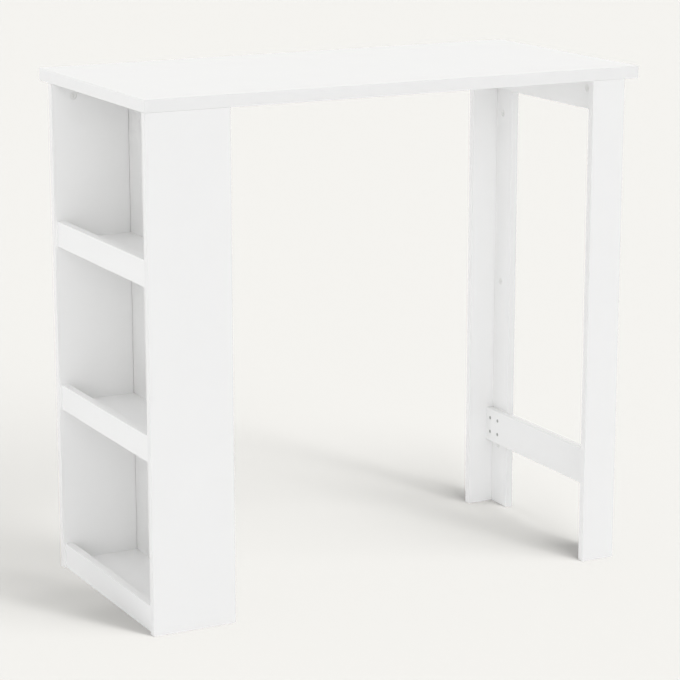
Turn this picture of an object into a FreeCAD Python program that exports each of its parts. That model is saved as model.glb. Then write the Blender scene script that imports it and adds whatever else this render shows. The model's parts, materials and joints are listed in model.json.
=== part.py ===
import FreeCAD, Part
import math
import os

# A bar table of white boards: a shelf tower under one end of the top, a leg frame under the other.
# Millimetres. X runs along the table with the tower at -X, Y from front to rear, Z up from the floor.

# Overall sizes
table_length = 1100.0
table_depth = 540.0
table_height = 1050.0
top_thickness = 25.0
board_thickness = 16.0

# The base is flush with the top at the front and at the tower's end, and set in at the other two sides
rear_overhang = 50.0
end_overhang = 33.0

# Shelf tower
tower_depth = 176.0
shelf_levels = ("lower", "middle", "upper")
shelf_pitch = 345.0
shelf_rail_height = 53.0
shelf_rail_recess = 5.0
back_thickness = 3.0
back_inset = 6.0
back_edge_clearance = 0.5
back_clearance = 0.2
groove_depth = 7.0
groove_front_gap = 0.7

# Leg frame: each leg is a face board with a return board behind it, and two rails join the return boards
leg_face_width = 76.0
leg_return_width = 64.0
upper_rail_height = 70.0
lower_rail_height = 76.0
lower_rail_lift = 147.0

# Edge bands, and the chamfer that eases their corners
top_band_thickness = 2.0
top_band_chamfer = 0.8
band_thickness = 1.0
band_chamfer = 0.4

# Cam locks and their bolts
cam_radius = 7.5
cam_setback = 27.0
cam_floor = 3.0
cam_sink = 0.3
cam_clearance = 0.1
cross_length = 9.0
cross_width = 1.6
cross_depth = 2.2
bolt_head_radius = 3.2
bolt_head_length = 2.4
bolt_neck_radius = 2.0
bolt_thread_radius = 3.0
bolt_clearance = 0.2
bolt_bore_radius = 4.0

# Where the cam locks sit
leg_cam_count = 3
leg_cam_foot_inset = 139.0
leg_cam_head_inset = 126.0
tower_cam_inset = 47.0
rail_cam_inset = 73.0
shelf_cam_inset = 40.0

# Wooden dowels
dowel_radius = 4.0
dowel_length = 30.0
dowel_chamfer = 1.0
dowel_clearance = 0.1
shelf_dowel_inset = 32.0
rail_dowel_inset = 100.0

# Holes drilled into a face leave this much board behind them
face_hole_floor = 4.0
hole_end_clearance = 1.0

# Countersunk screws of the cross rails: four at each end of the lower rail, two at each end of the upper
screw_pitch = 32.0
screw_head_radius = 3.8
screw_head_depth = 2.6
screw_shank_radius = 2.0
screw_point_cover = 2.5
screw_clearance = 0.15

# How many sides stand for the round of each kind of fitting and of its bores
cam_sides = 24
bolt_sides = 8
dowel_sides = 8
screw_sides = 10

# Every cut runs this far past the face that it opens
overrun = 1.0
parallel_share = 0.99

# Places worked out from the sizes
left = -table_length / 2
right = table_length / 2
front = -table_depth / 2
rear = table_depth / 2
underside = table_height - top_thickness
base_rear = rear - rear_overhang
inner_front = front + board_thickness
inner_rear = base_rear - board_thickness
tower_right = left + tower_depth
back_rear = tower_right - back_inset
back_front = back_rear - back_thickness
shelf_rail_left = left + shelf_rail_recess
shelf_left = shelf_rail_left + board_thickness
shelf_right = back_front - back_clearance
leg_right = right - end_overhang
leg_left = leg_right - leg_face_width
return_left = leg_right - board_thickness
cross_rail_left = return_left - board_thickness
lower_rail_top = lower_rail_lift + lower_rail_height
upper_rail_bottom = underside - upper_rail_height
half_board = board_thickness / 2
face_hole_depth = board_thickness - face_hole_floor

X = FreeCAD.Vector(1, 0, 0)
Y = FreeCAD.Vector(0, 1, 0)
Z = FreeCAD.Vector(0, 0, 1)
axes = {"x": X, "y": Y, "z": Z}

boards = {}
bands = {}
drillings = {}
fittings = {}


def vector(x, y, z):
    return FreeCAD.Vector(x, y, z)


def block(low, high):
    """A box between two corners."""
    size = high - low
    return Part.makeBox(size.x, size.y, size.z, low)


# Boards


def long_edges(shape, side, thin):
    """The edges of one side of a block, such as side -x, that bound its narrow face lengthwise."""
    normal = axes[side[1]] * (1 if side[0] == "+" else -1)
    along = axes[side[1]].cross(axes[thin])
    reach = max(vertex.Point.dot(normal) for vertex in shape.Vertexes)
    found = []
    for edge in shape.Edges:
        start, end = [vertex.Point for vertex in edge.Vertexes]
        is_along = abs((end - start).normalize().dot(along)) > parallel_share
        if is_along and math.isclose(start.dot(normal), reach):
            found.append(edge)
    return found


def side_strip(low, high, side, thickness):
    """The part of a block that lies within a band's thickness of one of its sides."""
    strip_low = vector(*low)
    strip_high = vector(*high)
    if side[0] == "+":
        setattr(strip_low, side[1], getattr(high, side[1]) - thickness)
    else:
        setattr(strip_high, side[1], getattr(low, side[1]) + thickness)
    return block(strip_low, strip_high)


def add_board(name, low, high, banded_sides=(), thin="z", band=band_thickness, chamfer=band_chamfer):
    """A board that is thin along one axis, with an eased edge band glued on each of the sides named."""
    whole = block(low, high)
    if not banded_sides:
        boards[name] = whole
        return
    edges = [edge for side in banded_sides for edge in long_edges(whole, side, thin)]
    eased = whole.makeChamfer(chamfer, edges)
    core = eased
    strips = []
    for side in banded_sides:
        strip = side_strip(low, high, side, band)
        strips.append(core.common(strip))
        core = core.cut(strip)
    boards[name] = core
    bands[name] = Part.makeCompound(strips)


def add_table_top():
    """The top, with thicker bands all round: the front and rear ones are as long as the table."""
    low = vector(left, front, underside)
    high = vector(right, rear, table_height)
    sides = ("-y", "+y", "-x", "+x")
    add_board("table_top", low, high, sides, "z", top_band_thickness, top_band_chamfer)


def add_tower():
    """Two side panels with a groove for the back, the back, and a shelf with a rail on each level."""
    for name, y_low in (("tower_front_panel", front), ("tower_rear_panel", inner_rear)):
        low = vector(left, y_low, 0)
        high = vector(tower_right, y_low + board_thickness, underside)
        add_board(name, low, high, ("-x", "+x"), "y")
    # The back lies close to the groove's rear wall, and the gap before it shows as a dark line
    groove_low = vector(back_front - groove_front_gap, inner_front - groove_depth, -overrun)
    groove_high = vector(back_rear + back_clearance, inner_rear + groove_depth, underside + overrun)
    groove = block(groove_low, groove_high)
    drill("tower_front_panel", groove)
    drill("tower_rear_panel", groove)
    back_reach = groove_depth - back_edge_clearance
    back_low = vector(back_front, inner_front - back_reach, back_edge_clearance)
    back_high = vector(back_rear, inner_rear + back_reach, underside - back_edge_clearance)
    add_board("back_panel", back_low, back_high)
    for level, name in enumerate(shelf_levels):
        z = level * shelf_pitch
        shelf_low = vector(shelf_left, inner_front, z)
        shelf_high = vector(shelf_right, inner_rear, z + board_thickness)
        add_board(name + "_shelf", shelf_low, shelf_high)
        rail_low = vector(shelf_rail_left, inner_front, z)
        rail_high = vector(shelf_left, inner_rear, z + shelf_rail_height)
        add_board(name + "_shelf_rail", rail_low, rail_high, ("-z", "+z"), "x")


def add_leg_frame():
    """Two L-shaped legs, and the two rails that lie on the inner faces of their return boards."""
    front_face_low = vector(leg_left, front, 0)
    front_face_high = vector(leg_right, inner_front, underside)
    add_board("front_leg_face_board", front_face_low, front_face_high, ("-x", "+x"), "y")
    rear_face_low = vector(leg_left, inner_rear, 0)
    rear_face_high = vector(leg_right, base_rear, underside)
    add_board("rear_leg_face_board", rear_face_low, rear_face_high, ("-x", "+x"), "y")
    front_return_low = vector(return_left, inner_front, 0)
    front_return_high = vector(leg_right, inner_front + leg_return_width, underside)
    add_board("front_leg_return_board", front_return_low, front_return_high, ("+y",), "x")
    rear_return_low = vector(return_left, inner_rear - leg_return_width, 0)
    rear_return_high = vector(leg_right, inner_rear, underside)
    add_board("rear_leg_return_board", rear_return_low, rear_return_high, ("-y",), "x")
    upper_low = vector(cross_rail_left, inner_front, upper_rail_bottom)
    upper_high = vector(return_left, inner_rear, underside)
    add_board("upper_cross_rail", upper_low, upper_high, ("-z",), "x")
    lower_low = vector(cross_rail_left, inner_front, lower_rail_lift)
    lower_high = vector(return_left, inner_rear, lower_rail_top)
    add_board("lower_cross_rail", lower_low, lower_high, ("-z", "+z"), "x")


# Fittings, each drawn about its own origin


def ring(x, radius, sides):
    """A polygon about the x axis, as far across its flats as a circle of that radius."""
    corner_radius = radius / math.cos(math.pi / sides)
    corners = []
    for step in range(sides):
        angle = 2 * math.pi * (step + 1 / 2) / sides
        corners.append(vector(x, corner_radius * math.cos(angle), corner_radius * math.sin(angle)))
    return Part.makePolygon(corners + corners[:1])


def turned(sides, *stations):
    """A pin along the x axis. A station is a place and a radius there, and two at one place make a step."""
    lengths = []
    for (x, radius), (next_x, next_radius) in zip(stations, stations[1:]):
        if next_x > x:
            rings = [ring(x, radius, sides), ring(next_x, next_radius, sides)]
            lengths.append(Part.makeLoft(rings, True, True))
    pin = lengths.pop(0)
    return pin.fuse(lengths).removeSplitter() if lengths else pin


def placed(shape, origin, along, outward):
    """A copy of a fitting with its x axis along one direction and its z axis along the other."""
    turn = FreeCAD.Rotation(along, outward.cross(along), outward, "XZY")
    return shape.transformed(FreeCAD.Placement(origin, turn).toMatrix(), True)


def upright(shape):
    """A fitting drawn along the x axis, stood up along the z axis."""
    return placed(shape, vector(0, 0, 0), Z, -X)


def drill(board, cutter):
    drillings.setdefault(board, []).append(cutter)


def fit(node, shape):
    fittings.setdefault(node, []).append(shape)


def cam_lock():
    """A cam sunk just below z = 0 and shut on its bolt's head, with a cross recess for the driver."""
    height = board_thickness - cam_floor - cam_sink - cam_clearance
    body = upright(turned(cam_sides, (-cam_sink - height, cam_radius), (-cam_sink, cam_radius)))
    head_room = bolt_head_radius + bolt_clearance
    neck_room = bolt_neck_radius + bolt_clearance
    pocket_low = vector(-bolt_clearance, -head_room, -half_board - head_room)
    pocket_high = vector(bolt_head_length + bolt_clearance, head_room, -half_board + head_room)
    mouth_low = vector(0, -neck_room, -half_board - neck_room)
    mouth_high = vector(cam_radius + overrun, neck_room, -half_board + neck_room)
    half_length = cross_length / 2
    half_width = cross_width / 2
    recess_floor = -cam_sink - cross_depth
    bar = block(vector(-half_length, -half_width, recess_floor), vector(half_length, half_width, overrun))
    arm = block(vector(-half_width, -half_length, recess_floor), vector(half_width, half_length, overrun))
    return body.cut([block(pocket_low, pocket_high), block(mouth_low, mouth_high), bar, arm])


def cam_bore():
    """What the cam lock and its bolt need out of the board that holds them."""
    depth = board_thickness - cam_floor
    bore_radius = cam_radius + cam_clearance
    bore = upright(turned(cam_sides, (-depth, bore_radius), (overrun, bore_radius)))
    channel = turned(bolt_sides, (0, bolt_bore_radius), (cam_setback + overrun, bolt_bore_radius))
    channel.translate(vector(0, 0, -half_board))
    return bore.fuse(channel)


def cam_bolt():
    """A bolt screwed into the next board, with its head in the cam."""
    shoulder = cam_setback
    tip = cam_setback + face_hole_depth - hole_end_clearance
    bolt = turned(
        bolt_sides,
        (0, bolt_head_radius),
        (bolt_head_length, bolt_head_radius),
        (bolt_head_length, bolt_neck_radius),
        (shoulder, bolt_neck_radius),
        (shoulder, bolt_thread_radius),
        (tip, bolt_thread_radius),
    )
    bolt.translate(vector(0, 0, -half_board))
    return bolt


def bolt_hole():
    radius = bolt_thread_radius + dowel_clearance
    hole = turned(bolt_sides, (cam_setback - overrun, radius), (cam_setback + face_hole_depth, radius))
    hole.translate(vector(0, 0, -half_board))
    return hole


def dowel():
    """A dowel across the joint at x = 0, with its longer end in a board's edge and the rest in a face."""
    face_end = face_hole_depth - hole_end_clearance
    edge_end = face_end - dowel_length
    tip_radius = dowel_radius - dowel_chamfer
    return turned(
        dowel_sides,
        (edge_end, tip_radius),
        (edge_end + dowel_chamfer, dowel_radius),
        (face_end - dowel_chamfer, dowel_radius),
        (face_end, tip_radius),
    )


def dowel_hole():
    edge_depth = dowel_length - face_hole_depth + 2 * hole_end_clearance
    radius = dowel_radius + dowel_clearance
    return turned(dowel_sides, (-edge_depth, radius), (face_hole_depth, radius))


def screw_length():
    return 2 * board_thickness - screw_point_cover


def screw():
    """A countersunk screw along x, its head flush with the face at x = 0."""
    return turned(
        screw_sides,
        (0, screw_head_radius),
        (screw_head_depth, screw_shank_radius),
        (screw_length() - screw_shank_radius, screw_shank_radius),
        (screw_length(), screw_shank_radius / 2),
    )


def screw_hole():
    """The screw's countersink and hole, which runs on as a pilot hole into the board behind."""
    radius = screw_shank_radius + screw_clearance
    head_radius = screw_head_radius + screw_clearance
    return turned(
        screw_sides,
        (-overrun, head_radius),
        (screw_clearance, head_radius),
        (screw_head_depth + screw_clearance, radius),
        (screw_length() + screw_clearance, radius),
    )


# Joints


def cam_joint(node, holder, mate, origin, along, outward):
    """A cam lock in one board that draws it against the next."""
    drill(holder, placed(cam_bore(), origin, along, outward))
    drill(mate, placed(bolt_hole(), origin, along, outward))
    fit(node + "_cam_locks", placed(cam_lock(), origin, along, outward))
    fit(node + "_cam_bolts", placed(cam_bolt(), origin, along, outward))


def dowel_joint(node, edge_board, face_board, origin, along, outward):
    """A dowel from the edge of one board into the face of the next."""
    hole = placed(dowel_hole(), origin, along, outward)
    drill(edge_board, hole)
    drill(face_board, hole)
    fit(node + "_dowels", placed(dowel(), origin, along, outward))


def join_tower_to_top():
    """Two cam locks in each side panel's head, and a dowel between them."""
    panels = (("tower_front_panel", inner_front, Y), ("tower_rear_panel", inner_rear, -Y))
    for panel, face, inward in panels:
        for x in (left + tower_cam_inset, tower_right - tower_cam_inset):
            cam_origin = vector(x, face, underside - cam_setback)
            cam_joint("tower", panel, "table_top", cam_origin, Z, inward)
        dowel_origin = vector(left + tower_depth / 2, face, underside) - inward * half_board
        dowel_joint("tower", panel, "table_top", dowel_origin, Z, inward)


def join_shelves():
    """Cam locks and dowels hold each shelf to the side panels, and dowels hold its rail to both."""
    ends = (("tower_front_panel", inner_front, -Y), ("tower_rear_panel", inner_rear, Y))
    for level, name in enumerate(shelf_levels):
        z = level * shelf_pitch
        middle = z + half_board
        shelf = name + "_shelf"
        rail = name + "_shelf_rail"
        for panel, face, outward in ends:
            cam_origin = vector(shelf_right - shelf_cam_inset, face, z) - outward * cam_setback
            cam_joint("shelf", shelf, panel, cam_origin, outward, -Z)
            dowel_origin = vector(shelf_left + shelf_dowel_inset, face, middle)
            dowel_joint("shelf", shelf, panel, dowel_origin, outward, -Z)
            rail_z = z + (board_thickness + shelf_rail_height) / 2
            rail_origin = vector(shelf_rail_left + half_board, face, rail_z)
            dowel_joint("shelf_rail", rail, panel, rail_origin, outward, Z)
        for y in (inner_front + rail_dowel_inset, inner_rear - rail_dowel_inset):
            dowel_joint("shelf_rail", shelf, rail, vector(shelf_left, y, middle), -X, Z)


def join_legs():
    """Cam locks up each return board hold it to its face board."""
    lowest = leg_cam_foot_inset
    highest = underside - leg_cam_head_inset
    step = (highest - lowest) / (leg_cam_count - 1)
    for leg, face, toward in (("front_leg", inner_front, -Y), ("rear_leg", inner_rear, Y)):
        for number in range(leg_cam_count):
            origin = vector(return_left, face, lowest + number * step) - toward * cam_setback
            cam_joint("leg", leg + "_return_board", leg + "_face_board", origin, toward, -X)


def screw_joint(node, rail, leg, y, z):
    """A screw through a cross rail into a leg's return board."""
    origin = vector(cross_rail_left, y, z)
    hole = placed(screw_hole(), origin, X, Z)
    drill(rail, hole)
    drill(leg + "_return_board", hole)
    fit(node, placed(screw(), origin, X, Z))


def join_cross_rails():
    """Screws at the ends of both rails, and cam locks that hold the upper rail to the top."""
    for y in (inner_front + rail_cam_inset, inner_rear - rail_cam_inset):
        origin = vector(cross_rail_left, y, underside - cam_setback)
        cam_joint("upper_rail", "upper_cross_rail", "table_top", origin, Z, -X)
    half_pitch = screw_pitch / 2
    upper_middle = underside - upper_rail_height / 2
    lower_middle = lower_rail_lift + lower_rail_height / 2
    half_return = leg_return_width / 2
    for leg, y in (("front_leg", inner_front + half_return), ("rear_leg", inner_rear - half_return)):
        for z_step in (-half_pitch, half_pitch):
            screw_joint("upper_rail_screws", "upper_cross_rail", leg, y, upper_middle + z_step)
            lower_z = lower_middle + z_step
            for y_step in (-half_pitch, half_pitch):
                screw_joint("lower_rail_screws", "lower_cross_rail", leg, y + y_step, lower_z)


def export_parts():
    os.makedirs("parts", exist_ok=True)
    nodes = {}
    for name, board in boards.items():
        nodes[name] = board.cut(drillings[name]) if name in drillings else board
    for name, strips in bands.items():
        nodes[name + "_edge_bands"] = strips
    for name, pieces in fittings.items():
        nodes[name] = Part.makeCompound(pieces)
    for name, shape in nodes.items():
        shape.exportStep(os.path.join("parts", name + ".step"))
        print(name, len(shape.Solids), shape.isValid(), round(shape.Volume))


add_table_top()
add_tower()
add_leg_frame()
join_tower_to_top()
join_shelves()
join_legs()
join_cross_rails()
export_parts()
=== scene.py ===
import json
import math

import bmesh
import bpy
from mathutils import Matrix, Vector


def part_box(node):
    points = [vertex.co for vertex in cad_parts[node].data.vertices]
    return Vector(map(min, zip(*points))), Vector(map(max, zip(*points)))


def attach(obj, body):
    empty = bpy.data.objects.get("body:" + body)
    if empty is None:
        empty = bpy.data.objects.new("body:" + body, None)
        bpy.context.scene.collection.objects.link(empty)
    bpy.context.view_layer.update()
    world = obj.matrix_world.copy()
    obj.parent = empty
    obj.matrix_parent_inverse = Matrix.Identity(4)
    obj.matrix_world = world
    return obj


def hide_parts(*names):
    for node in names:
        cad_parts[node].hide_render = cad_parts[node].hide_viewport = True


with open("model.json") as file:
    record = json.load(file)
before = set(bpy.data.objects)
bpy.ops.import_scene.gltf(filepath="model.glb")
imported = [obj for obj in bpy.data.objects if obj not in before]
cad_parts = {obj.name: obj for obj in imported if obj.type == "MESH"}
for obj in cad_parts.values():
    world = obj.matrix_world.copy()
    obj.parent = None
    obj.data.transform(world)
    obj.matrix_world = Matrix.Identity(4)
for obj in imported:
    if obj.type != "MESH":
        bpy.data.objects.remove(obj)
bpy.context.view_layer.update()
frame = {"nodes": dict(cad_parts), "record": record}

# A white bar table with a shelf tower. Metres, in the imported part's frame: X along the table from the
# tower's end, Y from front to rear, Z up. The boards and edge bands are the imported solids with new
# finishes. The cam locks, bolts, dowels and screws are turned here and replace their plain solids.

# Camera, at the photograph's viewing angle
camera_place = (-2.3514, -4.4803, 1.6812)
camera_yaw = 0.4834
camera_pitch = -0.2338
focal_pixels = 2480.5
picture_pixels = 680
sensor_width = 36.0

# Soft boxes of the room: the way to each, how tightly it is gathered, and its level
soft_boxes = (
    ((0.0, 0.0, 1.0), 2, 1.01),
    ((1.0, 0.0, 0.0), 2, 1.22),
    ((0.0, 1.0, 0.0), 2, 1.18),
    ((-0.75, 0.0, 0.66), 10, 1.22),
    ((-0.38, -0.90, 0.08), 12, 3.60),
    ((-0.85, 0.50, 0.20), 12, 0.66),
)

# Lamps that reach only the floor and draw the shadow there: the way to each, its spread, its level, and
# the group of boards that alone shades it, if any, which makes the shadow darkest at that group's feet
floor_lamps = (
    ((0.28, -0.77, 0.53), math.radians(42), 5.0, None),
    ((0.48, -0.62, 0.62), math.radians(42), 8.5, None),
    ((0.0, -0.47, 0.88), math.radians(22), 9.8, "leg_frame"),
    ((0.20, -0.60, 0.77), math.radians(9), 2.8, "leg_frame"),
    ((0.10, -0.18, 0.98), math.radians(5), 3.3, "tower_front"),
    ((0.16, -0.30, 0.94), math.radians(5), 2.4, "tower_front"),
    ((0.22, -0.41, 0.88), math.radians(5), 1.9, "tower_front"),
    ((0.29, -0.54, 0.79), math.radians(5), 1.3, "tower_front"),
)

# How the names of each group's boards start
shading_groups = {
    "leg_frame": ("front_leg", "rear_leg", "upper_cross_rail", "lower_cross_rail"),
    "tower_front": ("tower_front_panel",),
}

# Floor and backdrop. The floor's first tone lights the table from below. The eye and reflections see the
# second one with an even glow over it, so that the shadow keeps its shape on a floor as pale as the backdrop.
floor_reach = 60.0
floor_drop = 0.0002
floor_roughness = 0.9
floor_tones = ((0.099, 0.099, 0.099, 1.0), (0.0840, 0.0832, 0.0801, 1.0))
floor_glow = 0.102
glow_colour = (1.0, 0.99, 0.954, 1.0)
backdrop_colour = (0.905, 0.896, 0.863, 1.0)
white_light = (1.0, 1.0, 1.0, 1.0)
camera_range = 4 * floor_reach

# Colours of the finishes, from the darkest to the lightest that each shows
white_tones = ((0.872, 0.872, 0.868, 1.0), (0.890, 0.890, 0.887, 1.0))
band_tones = ((0.836, 0.836, 0.832, 1.0), (0.856, 0.856, 0.853, 1.0))
hardboard_tones = ((0.880, 0.880, 0.874, 1.0), (0.902, 0.902, 0.897, 1.0))
zinc_tones = ((0.79, 0.79, 0.78, 1.0), (0.89, 0.89, 0.88, 1.0))
steel_tones = ((0.54, 0.54, 0.52, 1.0), (0.69, 0.69, 0.67, 1.0))
screw_tones = ((0.40, 0.40, 0.39, 1.0), (0.56, 0.56, 0.55, 1.0))
beech_tones = ((0.50, 0.33, 0.18, 1.0), (0.74, 0.55, 0.35, 1.0))

# Grain of the finishes, in waves to a metre. The boards and bands have it in the tone, the gloss and the
# relief. A small stretch draws it out along that axis of a turned fitting: along it, then round it.
white_waves = (14, 60, 1800)
hardboard_waves = (22, 90, 700)
band_waves = (30, 120, 1200)
metal_waves = 500
ring_waves = 2500
beech_waves = 1500
ring_stretch_shares = (1, 0.05, 1)
beech_stretch_shares = (0.06, 1, 1)

# Depth of the finishes' relief
white_relief = 0.00003
hardboard_relief = 0.00005
band_relief = 0.00002
ring_relief = 0.00002
beech_relief = 0.00006

# Roughness of the finishes, from the smoothest to the roughest that each shows, and how metallic the metals
# are: the cast locks have a dull skin
white_roughness_shares = (0.36, 0.50)
hardboard_roughness_shares = (0.50, 0.64)
band_roughness_shares = (0.28, 0.40)
zinc_roughness_shares = (0.38, 0.54)
steel_roughness_shares = (0.22, 0.38)
screw_roughness_shares = (0.28, 0.44)
beech_roughness_shares = (0.60, 0.80)
zinc_metallic_share = 0.15
steel_metallic_share = 1.0

# Sizes of the cam locks' details, as shares of their radius and height. The profile runs from the foot
# to the rim and down to the face inside it, as pairs of height and radius. The bolt's drop is how far its
# middle lies below the top of the rim.
cam_profile_shares = ((0.0, 0.93), (0.06, 1.0), (0.955, 1.0), (1.0, 0.95), (1.0, 0.87), (0.965, 0.84))
cam_sides = 64
cross_reach_share = 0.60
cross_width_share = 0.11
cross_depth_share = 0.18
cross_floor_share = 0.65
arrow_start_share = 0.66
arrow_tip_share = 0.81
arrow_width_share = 0.12
arrow_depth_share = 0.05
bolt_drop_share = 0.61

# The bolts' profile, as shares of their length and head radius: the head, the neck and the joint's collar
bolt_neck_share = 0.62
bolt_profile_shares = (
    (0.0, 0.55), (0.008, 0.82), (0.022, 0.97), (0.036, 1.0), (0.052, 0.97), (0.063, 0.80),
    (0.072, bolt_neck_share), (0.655, bolt_neck_share),
    (0.660, 0.95), (0.665, 1.0), (0.700, 1.0), (0.706, 0.93),
)
bolt_thread_shares = (0.72, 0.97)
bolt_tip_shares = (1.0, 0.45)
bolt_root_share = 0.70
bolt_crest_share = 0.93
bolt_turns = 6
bolt_sides = 24
pocket_room_share = 1.06

# The screws' profile, as shares of their length and head radius
screw_profile_shares = ((0.0, 0.98), (0.006, 1.02), (0.018, 1.02), (0.085, 0.55), (0.13, 0.42))
screw_thread_shares = (0.14, 0.90)
screw_tip_shares = (1.0, 0.06)
screw_root_share = 0.36
screw_crest_share = 0.526
screw_turns = 12
screw_sides = 24
screw_cross_reach_share = 0.58
screw_cross_width_share = 0.14
screw_cross_depth_share = 0.06

# The dowels' profile, as shares of their length and radius, and the flutes along them
dowel_profile_shares = ((0.0, 0.75), (0.033, 0.99), (0.06, 1.0), (0.94, 1.0), (0.967, 0.99), (1.0, 0.75))
flute_count = 16
flute_depth_share = 0.07
dowel_sides = 64

thread_steps = 8
smooth_below = math.radians(32)
weld_distance = 0.000001

# Turns the X axis up to Z
quarter_turn = Matrix.Rotation(-math.pi / 2, 4, "Y")


# Finishes


class Finish:
    """A material's nodes, with its shader at hand."""

    def __init__(self, name):
        self.material = bpy.data.materials.new(name)
        self.material.use_nodes = True
        self.tree = self.material.node_tree
        self.shader = self.tree.nodes["Principled BSDF"]
        places = self.tree.nodes.new("ShaderNodeTexCoord").outputs
        self.place = places["Object"]
        self.turned_place = places["UV"]

    def node(self, kind, **inputs):
        made = self.tree.nodes.new("ShaderNode" + kind)
        for name, value in inputs.items():
            self.feed(made.inputs[name.replace("_", " ")], value)
        return made

    def feed(self, socket, value):
        if isinstance(value, bpy.types.NodeSocket):
            self.tree.links.new(value, socket)
        else:
            socket.default_value = value

    def noise(self, waves, detail, place=None, stretch=(1, 1, 1)):
        """Noise with about so many waves in a metre, drawn out along the axes whose stretch is small."""
        mapped = self.node("Mapping", Vector=place or self.place, Scale=stretch)
        return self.node("TexNoise", Vector=mapped.outputs["Vector"], Scale=waves, Detail=detail).outputs[0]

    def between(self, value, low, high):
        return self.node("MapRange", Value=value, To_Min=low, To_Max=high).outputs[0]

    def greater(self, first, second):
        made = self.node("Math")
        made.operation = "MAXIMUM"
        for socket, value in zip(made.inputs, (first, second)):
            self.feed(socket, value)
        return made.outputs[0]

    def tones(self, value, dark_and_light):
        ramp = self.node("ValToRGB", Fac=value)
        for element, tone in zip(ramp.color_ramp.elements, dark_and_light):
            element.color = tone
        self.feed(self.shader.inputs["Base Color"], ramp.outputs["Color"])

    def roughness(self, value, shares):
        self.feed(self.shader.inputs["Roughness"], self.between(value, *shares))

    def relief(self, height, depth):
        bump = self.node("Bump", Height=height, Distance=depth)
        self.feed(self.shader.inputs["Normal"], bump.outputs["Normal"])


def white_board():
    """Melamine paper pressed on particle board, with a pearl grain too fine to see from a step away."""
    made = Finish("white_board")
    tone_waves, gloss_waves, relief_waves = white_waves
    made.tones(made.noise(tone_waves, detail=4), white_tones)
    made.roughness(made.noise(gloss_waves, detail=3), white_roughness_shares)
    made.relief(made.noise(relief_waves, detail=2), white_relief)
    return made.material


def white_hardboard():
    """Lacquer rolled on thin fibreboard, duller than the boards and with a coarser skin."""
    made = Finish("white_hardboard")
    tone_waves, gloss_waves, relief_waves = hardboard_waves
    made.tones(made.noise(tone_waves, detail=4), hardboard_tones)
    made.roughness(made.noise(gloss_waves, detail=3), hardboard_roughness_shares)
    made.relief(made.noise(relief_waves, detail=4), hardboard_relief)
    return made.material


def edge_band():
    """Plastic edge band, a little glossier than the boards."""
    made = Finish("edge_band")
    tone_waves, gloss_waves, relief_waves = band_waves
    made.tones(made.noise(tone_waves, detail=3), band_tones)
    made.roughness(made.noise(gloss_waves, detail=3), band_roughness_shares)
    made.relief(made.noise(relief_waves, detail=2), band_relief)
    return made.material


def metal(name, tones, metallic_share, roughness_shares):
    """Metal with fine rings round the fitting."""
    made = Finish(name)
    made.shader.inputs["Metallic"].default_value = metallic_share
    made.tones(made.noise(metal_waves, detail=3), tones)
    rings = made.noise(ring_waves, detail=2, place=made.turned_place, stretch=ring_stretch_shares)
    made.roughness(rings, roughness_shares)
    made.relief(rings, ring_relief)
    return made.material


def beech():
    """Raw beech, with its grain along the dowel."""
    made = Finish("beech")
    grain = made.noise(beech_waves, detail=5, place=made.turned_place, stretch=beech_stretch_shares)
    made.tones(grain, beech_tones)
    made.roughness(grain, beech_roughness_shares)
    made.relief(grain, beech_relief)
    return made.material


finishes = {
    "white_board": white_board(),
    "white_hardboard": white_hardboard(),
    "edge_band": edge_band(),
    "zinc_alloy": metal("zinc_alloy", zinc_tones, zinc_metallic_share, zinc_roughness_shares),
    "plated_steel": metal("plated_steel", steel_tones, steel_metallic_share, steel_roughness_shares),
    "screw_steel": metal("screw_steel", screw_tones, steel_metallic_share, screw_roughness_shares),
    "beech": beech(),
}
slots = {part["node"]: part["material_slot"] for part in frame["record"]["subparts"]}


def dress_nodes():
    """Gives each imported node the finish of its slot."""
    for node, slot in slots.items():
        mesh = frame["nodes"][node].data
        mesh.materials.clear()
        mesh.materials.append(finishes[slot])


# Turned fittings


def turned(stations, sides, swell=None):
    """A closed mesh turned about X through pairs of place and radius. Swell scales the radius by angle."""
    shape = bmesh.new()
    seams = shape.loops.layers.uv.new("turned")
    rings = []
    for x, radius in stations:
        ring = []
        for step in range(sides):
            angle = math.tau * step / sides
            spoke = radius * (swell(x, angle) if swell else 1)
            ring.append(shape.verts.new((x, spoke * math.cos(angle), spoke * math.sin(angle))))
        rings.append(ring)
    for first, second, (x, radius), (next_x, next_radius) in zip(rings, rings[1:], stations, stations[1:]):
        for step in range(sides):
            after = (step + 1) % sides
            face = shape.faces.new((first[step], second[step], second[after], first[after]))
            arc = math.tau * max(radius, next_radius)
            low, high = arc * step / sides, arc * (step + 1) / sides
            for loop, place in zip(face.loops, ((x, low), (next_x, low), (next_x, high), (x, high))):
                loop[seams].uv = place
    shape.faces.new(rings[0])
    shape.faces.new(reversed(rings[-1]))
    bmesh.ops.recalc_face_normals(shape, faces=shape.faces)
    return finished(shape)


def finished(shape):
    """The shape as a mesh."""
    mesh = bpy.data.meshes.new("shape")
    shape.to_mesh(mesh)
    shape.free()
    return mesh


def scaled(shares, length, radius):
    """A profile's shares as pairs of place and radius."""
    return [(share * length, radius_share * radius) for share, radius_share in shares]


def thread_stations(start, end, turns, radius):
    """Places close enough together for a thread's turns to show, all of the crest's radius."""
    steps = turns * thread_steps
    return [(start + (end - start) * step / steps, radius) for step in range(steps + 1)]


def thread_swell(start, end, turns, root_share):
    """A screw thread from start to end: the radius falls to the root's share between the turns."""
    def swell(x, angle):
        if not start < x < end:
            return 1
        phase = (turns * (x - start) / (end - start) + angle / math.tau) % 1
        crest = 1 - abs(2 * phase - 1)
        return root_share + (1 - root_share) * crest
    return swell


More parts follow.
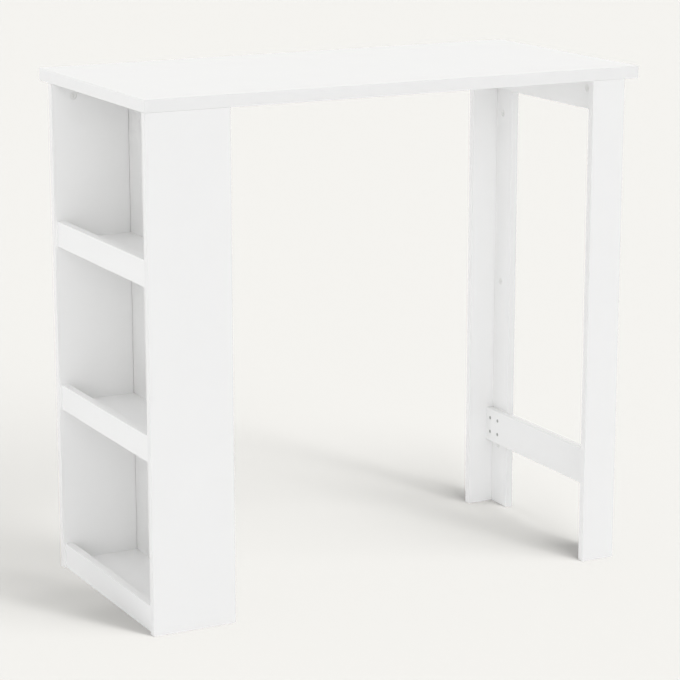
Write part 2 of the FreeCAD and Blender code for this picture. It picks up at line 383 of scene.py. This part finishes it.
def prism(corners, low, high, floor_share=1):
    """A cutter that stands on a flat outline at low, drawn in by the floor's share, and reaches high."""
    shape = bmesh.new()
    centre = sum((Vector(corner) for corner in corners), Vector((0, 0))) / len(corners)
    shrunk = [centre + (Vector(corner) - centre) * floor_share for corner in corners]
    floor = [shape.verts.new((x, y, low)) for x, y in shrunk]
    roof = [shape.verts.new((x, y, high)) for x, y in corners]
    shape.faces.new(reversed(floor))
    shape.faces.new(roof)
    for step in range(len(corners)):
        after = (step + 1) % len(corners)
        shape.faces.new((floor[step], floor[after], roof[after], roof[step]))
    bmesh.ops.recalc_face_normals(shape, faces=shape.faces)
    return finished(shape)


def rectangle(low_x, low_y, high_x, high_y):
    return ((low_x, low_y), (high_x, low_y), (high_x, high_y), (low_x, high_y))


def cross_cutters(reach, width, depth):
    """The two bars of a cross recess that narrows towards its floor, below z = 0."""
    bar = rectangle(-reach, -width, reach, width)
    arm = rectangle(-width, -reach, width, reach)
    return [prism(outline, -depth, depth, cross_floor_share) for outline in (bar, arm)]


def carved(mesh, cutters):
    """The mesh with each cutter's volume taken out of it."""
    holder = bpy.data.objects.new("holder", mesh)
    bpy.context.scene.collection.objects.link(holder)
    tools = []
    for cutter in cutters:
        tool = bpy.data.objects.new("tool", cutter)
        bpy.context.scene.collection.objects.link(tool)
        cut = holder.modifiers.new("cut", "BOOLEAN")
        cut.operation = "DIFFERENCE"
        cut.solver = "EXACT"
        cut.object = tool
        tools.append(tool)
    depsgraph = bpy.context.evaluated_depsgraph_get()
    result = bpy.data.meshes.new_from_object(holder.evaluated_get(depsgraph))
    for spent in tools + [holder]:
        bpy.data.objects.remove(spent)
    return result


def cam_lock(radius, height, bolt_radius):
    """A cast cam with the top of its rim at z = 0, shut on a bolt that leaves it along X."""
    profile = [((share - 1) * height, radius_share * radius) for share, radius_share in cam_profile_shares]
    body = turned(profile, cam_sides)
    body.transform(quarter_turn)
    recess_reach = cross_reach_share * radius
    recess_width = cross_width_share * radius
    cutters = cross_cutters(recess_reach, recess_width, cross_depth_share * height)
    arrow = (
        (arrow_start_share * radius, -arrow_width_share * radius),
        (arrow_tip_share * radius, 0),
        (arrow_start_share * radius, arrow_width_share * radius),
    )
    cutters.append(prism(arrow, -arrow_depth_share * height, height))
    room = bolt_radius * pocket_room_share
    slot = room * bolt_neck_share
    middle = -height * bolt_drop_share
    cutters.append(prism(rectangle(-room, -room, room, room), middle - room, middle + room))
    cutters.append(prism(rectangle(0, -slot, radius + room, slot), middle - slot, middle + slot))
    return carved(body, cutters)


def cam_bolt(length, radius):
    """A bolt with its head at x = 0 and a thread beyond the collar."""
    start, end = (share * length for share in bolt_thread_shares)
    stations = scaled(bolt_profile_shares, length, radius)
    stations += thread_stations(start, end, bolt_turns, bolt_crest_share * radius)
    stations += scaled((bolt_tip_shares,), length, radius)
    swell = thread_swell(start, end, bolt_turns, bolt_root_share / bolt_crest_share)
    return turned(stations, bolt_sides, swell)


def screw(length, radius):
    """A countersunk screw with a cross recess, its head's face at x = 0."""
    start, end = (share * length for share in screw_thread_shares)
    stations = scaled(screw_profile_shares, length, radius)
    stations += thread_stations(start, end, screw_turns, screw_crest_share * radius)
    stations += scaled((screw_tip_shares,), length, radius)
    swell = thread_swell(start, end, screw_turns, screw_root_share / screw_crest_share)
    recess_reach = screw_cross_reach_share * radius
    recess_width = screw_cross_width_share * radius
    cutters = cross_cutters(recess_reach, recess_width, screw_cross_depth_share * length)
    for cutter in cutters:
        cutter.transform(quarter_turn)
    return carved(turned(stations, screw_sides, swell), cutters)


def dowel(length, radius):
    """A beech pin with bevelled ends and flutes along it."""
    def flutes(x, angle):
        return 1 - flute_depth_share * (1 + math.cos(flute_count * angle)) / 2
    return turned(scaled(dowel_profile_shares, length, radius), dowel_sides, flutes)


# Where the fittings go


def solids(node):
    """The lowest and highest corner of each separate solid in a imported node."""
    shape = bmesh.new()
    shape.from_mesh(frame["nodes"][node].data)
    bmesh.ops.remove_doubles(shape, verts=shape.verts, dist=weld_distance)
    waiting = set(shape.verts)
    boxes = []
    for seed in shape.verts:
        if seed not in waiting:
            continue
        waiting.remove(seed)
        reached = [seed]
        for vertex in reached:
            near = {edge.other_vert(vertex) for edge in vertex.link_edges} & waiting
            waiting -= near
            reached.extend(near)
        low = Vector([min(vertex.co[axis] for vertex in reached) for axis in range(3)])
        high = Vector([max(vertex.co[axis] for vertex in reached) for axis in range(3)])
        boxes.append((low, high))
    shape.free()
    return boxes


up = Vector((0, 0, 1))
leftward = Vector((-1, 0, 0))
rearward = Vector((0, 1, 0))
base_middle = (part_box("tower_front_panel")[0][1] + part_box("tower_rear_panel")[1][1]) / 2


def sideways(centre):
    """Away from the middle of the base, to the front or to the rear."""
    return rearward if centre.y > base_middle else -rearward


def reach(low, high, way):
    """Half of a box's size along one of the axes."""
    return abs((high - low).dot(way)) / 2


def placement(origin, along, outward):
    """A move that takes the origin there, X to along and Z to outward."""
    turn = Matrix((along, outward.cross(along), outward)).transposed()
    return Matrix.Translation(origin) @ turn.to_4x4()


def add_fittings(node, placed):
    """One piece for a node: copies of its shape, each moved to its place."""
    together = bmesh.new()
    for mesh, move in placed:
        copy = mesh.copy()
        copy.transform(move)
        together.from_mesh(copy)
    mesh = finished(together)
    mesh.polygons.foreach_set("use_smooth", [True] * len(mesh.polygons))
    mesh.set_sharp_from_angle(angle=smooth_below)
    mesh.materials.clear()
    mesh.materials.append(finishes[slots[node]])
    piece = bpy.data.objects.new(node + "_turned", mesh)
    bpy.context.scene.collection.objects.link(piece)
    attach(piece, "root")
    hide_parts(node)


def add_cam_joint(name, ways):
    """The cam locks and bolts of one kind of joint. Ways gives the bolt's way and the cam's face by place."""
    bolts = []
    for low, high in solids(name + "_cam_bolts"):
        centre = (low + high) / 2
        along, outward = ways(centre)
        length = 2 * reach(low, high, along)
        bolt_radius = reach(low, high, outward)
        bolts.append((cam_bolt(length, bolt_radius), placement(centre - along * length / 2, along, outward)))
    cams = []
    for low, high in solids(name + "_cam_locks"):
        centre = (low + high) / 2
        along, outward = ways(centre)
        radius = reach(low, high, along)
        face = centre + outward * reach(low, high, outward)
        lock = cam_lock(radius, 2 * reach(low, high, outward), bolt_radius)
        cams.append((lock, placement(face, along, outward)))
    add_fittings(name + "_cam_bolts", bolts)
    add_fittings(name + "_cam_locks", cams)


def add_rods(node, shape):
    """Dowels or screws: each lies along the longest side of its box, from the low end."""
    rods = []
    for low, high in solids(node):
        sizes = high - low
        axis = max(range(3), key=lambda index: sizes[index])
        along = Vector([float(index == axis) for index in range(3)])
        outward = leftward if along == up else up
        start = (low + high) / 2 - along * sizes[axis] / 2
        rods.append((shape(sizes[axis], min(sizes) / 2), placement(start, along, outward)))
    add_fittings(node, rods)


# Studio


def add_floor():
    """A wide plain floor, a hair below the table's feet."""
    mesh = bpy.data.meshes.new("floor")
    corners = [(x, y, 0) for x, y in rectangle(-floor_reach, -floor_reach, floor_reach, floor_reach)]
    mesh.from_pydata(corners, [], [(0, 1, 2, 3)])
    made = Finish("floor")
    path = made.node("LightPath").outputs
    seen = made.greater(path["Is Camera Ray"], path["Is Glossy Ray"])
    seen = made.greater(seen, path["Is Transmission Ray"])
    made.tones(seen, floor_tones)
    made.shader.inputs["Roughness"].default_value = floor_roughness
    made.shader.inputs["Specular IOR Level"].default_value = 0.0
    made.shader.inputs["Emission Color"].default_value = glow_colour
    made.feed(made.shader.inputs["Emission Strength"], made.between(seen, 0, floor_glow))
    mesh.materials.append(made.material)
    floor = bpy.data.objects.new("floor", mesh)
    floor.location.z = -floor_drop
    bpy.context.scene.collection.objects.link(floor)
    return floor


def add_room():
    """Soft boxes all round give the light. The eye and reflections see the plain backdrop."""
    world = bpy.data.worlds.new("room")
    bpy.context.scene.world = world
    world.use_nodes = True
    tree = world.node_tree
    tree.nodes.clear()

    def node(kind, operation, *values):
        made = tree.nodes.new("ShaderNode" + kind)
        if operation:
            made.operation = operation
        for socket, value in zip(made.inputs, values):
            if isinstance(value, bpy.types.NodeSocket):
                tree.links.new(value, socket)
            else:
                socket.default_value = value
        return made

    direction = node("TexCoord", None).outputs["Generated"]
    level = 0.0
    for toward, gathering, strength in soft_boxes:
        facing = node("VectorMath", "DOT_PRODUCT", direction, Vector(toward).normalized()).outputs["Value"]
        facing = node("Math", "MAXIMUM", facing, 0.0).outputs[0]
        facing = node("Math", "POWER", facing, gathering).outputs[0]
        level = node("Math", "MULTIPLY_ADD", facing, strength, level).outputs[0]
    light = node("Background", None, white_light, level).outputs[0]
    backdrop = node("Background", None, backdrop_colour, 1.0).outputs[0]
    path = node("LightPath", None).outputs
    seen = node("Math", "MAXIMUM", path["Is Camera Ray"], path["Is Glossy Ray"]).outputs[0]
    seen = node("Math", "MAXIMUM", seen, path["Is Transmission Ray"]).outputs[0]
    mixed = node("MixShader", None, seen, light, backdrop).outputs[0]
    node("OutputWorld", None, mixed)


def add_floor_lamps(floor):
    """Far lamps that light nothing but the floor."""
    lit = bpy.data.collections.new("floor_alone")
    lit.objects.link(floor)
    shading = {}
    for group, starts in shading_groups.items():
        shading[group] = bpy.data.collections.new(group + "_alone")
        for node in slots:
            if node.startswith(starts):
                shading[group].objects.link(frame["nodes"][node])
    for index, (toward, spread, strength, group) in enumerate(floor_lamps):
        lamp = bpy.data.lights.new("floor_lamp", "SUN")
        lamp.energy = strength
        lamp.angle = spread
        holder = bpy.data.objects.new(f"floor_lamp_{index}", lamp)
        holder.rotation_euler = Vector(toward).to_track_quat("Z", "Y").to_euler()
        bpy.context.scene.collection.objects.link(holder)
        holder.light_linking.receiver_collection = lit
        if group:
            holder.light_linking.blocker_collection = shading[group]


def add_camera():
    data = bpy.data.cameras.new("camera")
    data.sensor_width = sensor_width
    data.lens = focal_pixels * sensor_width / picture_pixels
    data.clip_end = camera_range
    camera = bpy.data.objects.new("camera", data)
    camera.location = camera_place
    camera.rotation_euler = (math.pi / 2 + camera_pitch, 0.0, -camera_yaw)
    bpy.context.scene.collection.objects.link(camera)
    bpy.context.scene.camera = camera


dress_nodes()
add_cam_joint("tower", lambda centre: (up, -sideways(centre)))
add_cam_joint("shelf", lambda centre: (sideways(centre), -up))
add_cam_joint("leg", lambda centre: (sideways(centre), leftward))
add_cam_joint("upper_rail", lambda centre: (up, leftward))
for rods in ("tower_dowels", "shelf_dowels", "shelf_rail_dowels"):
    add_rods(rods, dowel)
for rods in ("upper_rail_screws", "lower_rail_screws"):
    add_rods(rods, screw)
add_floor_lamps(add_floor())
add_room()
add_camera()
bpy.context.scene.view_settings.view_transform = "Standard"
